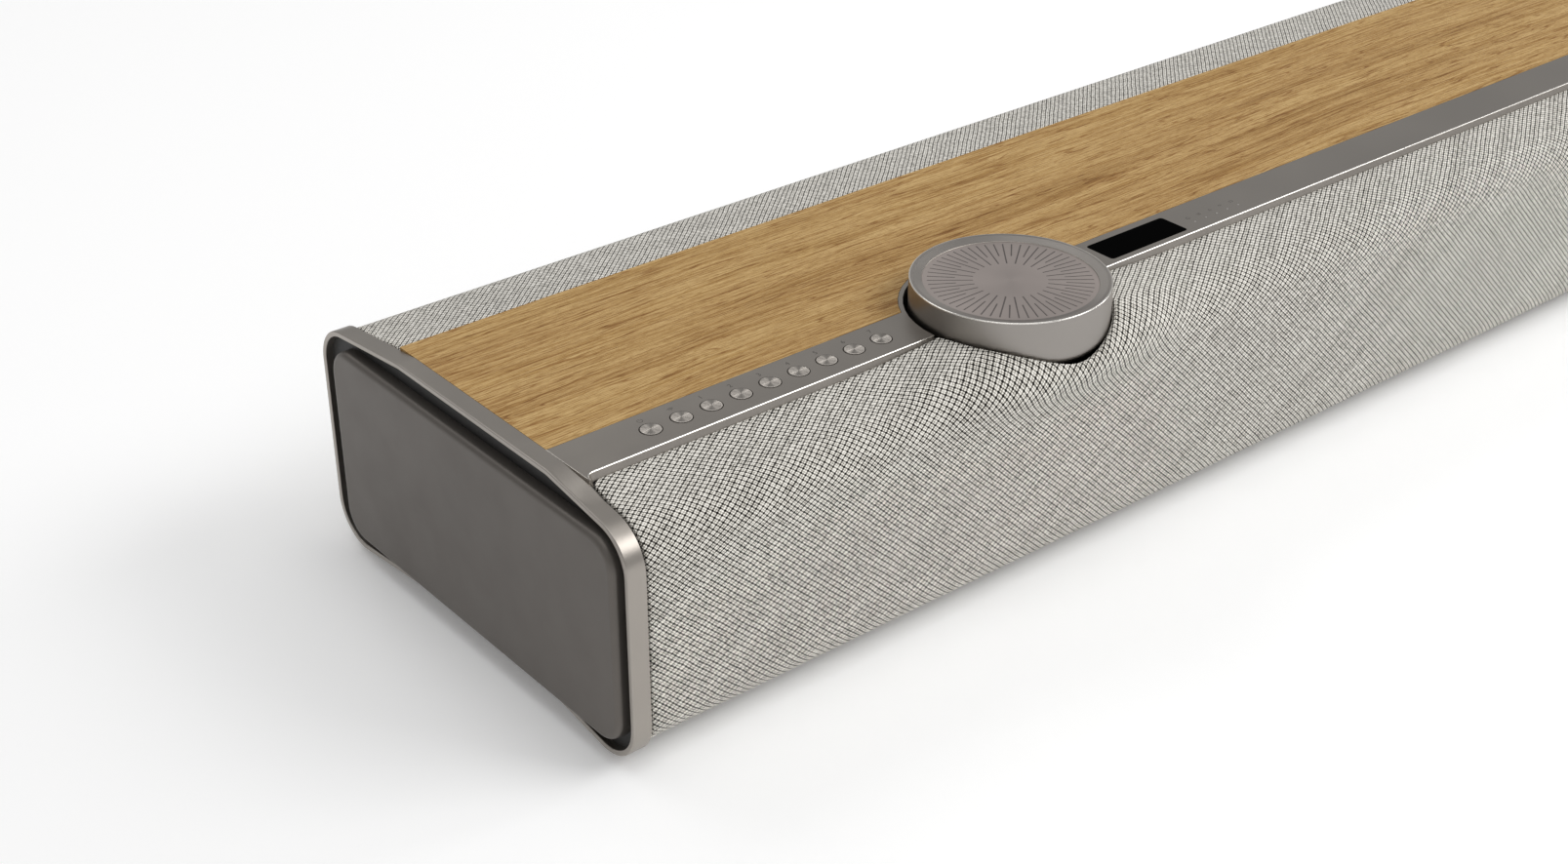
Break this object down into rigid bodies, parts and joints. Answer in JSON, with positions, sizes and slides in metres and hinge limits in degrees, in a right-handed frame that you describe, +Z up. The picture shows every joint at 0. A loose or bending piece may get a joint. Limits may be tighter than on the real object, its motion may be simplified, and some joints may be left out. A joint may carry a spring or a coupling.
{
  "type": "soundbar",
  "caption": "Long low soundbar with bent metal end frames, woven front and rear grilles, an oak top strip, a metal control strip with push buttons and display, and a large rotary dial.",
  "frame": {"origin": "on the resting plane under the feet, under the middle of the overall box", "axes": "+X along the bar towards its right end seen from the front, +Y to the rear, +Z up"},
  "size_m": [0.96, 0.1869, 0.1038],
  "materials": {
    "frame_metal": "satin taupe lacquer on aluminium",
    "panel_paint": "smooth dark taupe, satin",
    "dial_metal": "fine satin, warm grey anodised",
    "dial_face_metal": "matt rose grey with engraved marks",
    "button_metal": "spun face with a bright edge",
    "oak": "matt oiled oak veneer, grain along the bar",
    "melange_fabric": "basket weave of off-white and grey yarn",
    "black_moulding": "fine texture",
    "rubber": "matt",
    "steel": "zinc plated",
    "circuit_board": "solder mask",
    "switch_plastic": "moulded",
    "bare_aluminium": "extruded",
    "steel_can": "folded sheet",
    "display_glass": "polished black",
    "light_pipe": "clear moulded",
    "driver_steel": "black coated",
    "tweeter_black": "satin",
    "cone_paper": "coated pulp"
  },
  "bodies": {
    "housing": {"base_plate": "black_moulding", "base_screws": "steel", "button_board": "circuit_board", "button_switches": "switch_plastic", "centre_woofer_frame": "driver_steel", "connector_panel": "black_moulding", "connector_screws": "steel", "control_strip": "frame_metal", "dial_encoder": "steel", "dial_well": "black_moulding", "display_board": "circuit_board", "display_window": "display_glass", "end_screws": "steel", "front_grille": "melange_fabric", "front_grille_carrier": "black_moulding", "hdmi_socket": "black_moulding", "heat_sink": "bare_aluminium", "indicator_lamps": "light_pipe", "left_end_bulkhead": "black_moulding", "left_end_frame": "frame_metal", "left_end_panel": "panel_paint", "left_tweeter": "tweeter_black", "left_upfiring_frame": "driver_steel", "left_woofer_frame": "driver_steel", "main_board": "circuit_board", "network_socket": "black_moulding", "optical_socket": "black_moulding", "power_inlet": "black_moulding", "power_supply": "steel_can", "rear_cover": "black_moulding", "rear_grille": "melange_fabric", "rear_grille_carrier": "black_moulding", "right_end_bulkhead": "black_moulding", "right_end_frame": "frame_metal", "right_end_panel": "panel_paint", "right_tweeter": "tweeter_black", "right_upfiring_frame": "driver_steel", "right_woofer_frame": "driver_steel", "rubber_feet": "rubber", "speaker_case": "black_moulding", "timber_top": "oak", "top_tray": "black_moulding", "usb_socket": "black_moulding"},
    "dial": {"dial_shell": "dial_metal", "dial_face": "dial_face_metal", "dial_shaft": "steel"},
    "power_button": {"power_button": "button_metal"},
    "source_button": {"source_button": "button_metal"},
    "preset_button_1": {"preset_button_1": "button_metal"},
    "preset_button_2": {"preset_button_2": "button_metal"},
    "preset_button_3": {"preset_button_3": "button_metal"},
    "preset_button_4": {"preset_button_4": "button_metal"},
    "preset_button_5": {"preset_button_5": "button_metal"},
    "preset_button_6": {"preset_button_6": "button_metal"},
    "preset_button_7": {"preset_button_7": "button_metal"},
    "left_woofer_cone": {"left_woofer_cone": "cone_paper"},
    "centre_woofer_cone": {"centre_woofer_cone": "cone_paper"},
    "right_woofer_cone": {"right_woofer_cone": "cone_paper"},
    "left_upfiring_cone": {"left_upfiring_cone": "cone_paper"},
    "right_upfiring_cone": {"right_upfiring_cone": "cone_paper"}
  },
  "joints": [
    {"name": "dial_turn", "type": "hinge", "parent": "housing", "child": "dial", "pos_m": [-0.2888, -0.05565, 0.095], "axis": [0, 0, 1], "continuous": true},
    {"name": "power_button_press", "type": "slide", "parent": "housing", "child": "power_button", "axis": [0, 0, -1], "range_m": [0, 0.0008], "stiffness_N_per_m": 1200, "springref_m": -0.0004},
    {"name": "source_button_press", "type": "slide", "parent": "housing", "child": "source_button", "axis": [0, 0, -1], "range_m": [0, 0.0008], "stiffness_N_per_m": 1200, "springref_m": -0.0004},
    {"name": "preset_button_1_press", "type": "slide", "parent": "housing", "child": "preset_button_1", "axis": [0, 0, -1], "range_m": [0, 0.0008], "stiffness_N_per_m": 1200, "springref_m": -0.0004},
    {"name": "preset_button_2_press", "type": "slide", "parent": "housing", "child": "preset_button_2", "axis": [0, 0, -1], "range_m": [0, 0.0008], "stiffness_N_per_m": 1200, "springref_m": -0.0004},
    {"name": "preset_button_3_press", "type": "slide", "parent": "housing", "child": "preset_button_3", "axis": [0, 0, -1], "range_m": [0, 0.0008], "stiffness_N_per_m": 1200, "springref_m": -0.0004},
    {"name": "preset_button_4_press", "type": "slide", "parent": "housing", "child": "preset_button_4", "axis": [0, 0, -1], "range_m": [0, 0.0008], "stiffness_N_per_m": 1200, "springref_m": -0.0004},
    {"name": "preset_button_5_press", "type": "slide", "parent": "housing", "child": "preset_button_5", "axis": [0, 0, -1], "range_m": [0, 0.0008], "stiffness_N_per_m": 1200, "springref_m": -0.0004},
    {"name": "preset_button_6_press", "type": "slide", "parent": "housing", "child": "preset_button_6", "axis": [0, 0, -1], "range_m": [0, 0.0008], "stiffness_N_per_m": 1200, "springref_m": -0.0004},
    {"name": "preset_button_7_press", "type": "slide", "parent": "housing", "child": "preset_button_7", "axis": [0, 0, -1], "range_m": [0, 0.0008], "stiffness_N_per_m": 1200, "springref_m": -0.0004},
    {"name": "left_woofer_cone_stroke", "type": "slide", "parent": "housing", "child": "left_woofer_cone", "axis": [0, -1, 0], "range_m": [-0.0015, 0.0015], "stiffness_N_per_m": 1100},
    {"name": "centre_woofer_cone_stroke", "type": "slide", "parent": "housing", "child": "centre_woofer_cone", "axis": [0, -1, 0], "range_m": [-0.0015, 0.0015], "stiffness_N_per_m": 1100},
    {"name": "right_woofer_cone_stroke", "type": "slide", "parent": "housing", "child": "right_woofer_cone", "axis": [0, -1, 0], "range_m": [-0.0015, 0.0015], "stiffness_N_per_m": 1100},
    {"name": "left_upfiring_cone_stroke", "type": "slide", "parent": "housing", "child": "left_upfiring_cone", "axis": [0, 0, 1], "range_m": [-0.0008, 0.0008], "stiffness_N_per_m": 900},
    {"name": "right_upfiring_cone_stroke", "type": "slide", "parent": "housing", "child": "right_upfiring_cone", "axis": [0, 0, 1], "range_m": [-0.0008, 0.0008], "stiffness_N_per_m": 900}
  ]
}
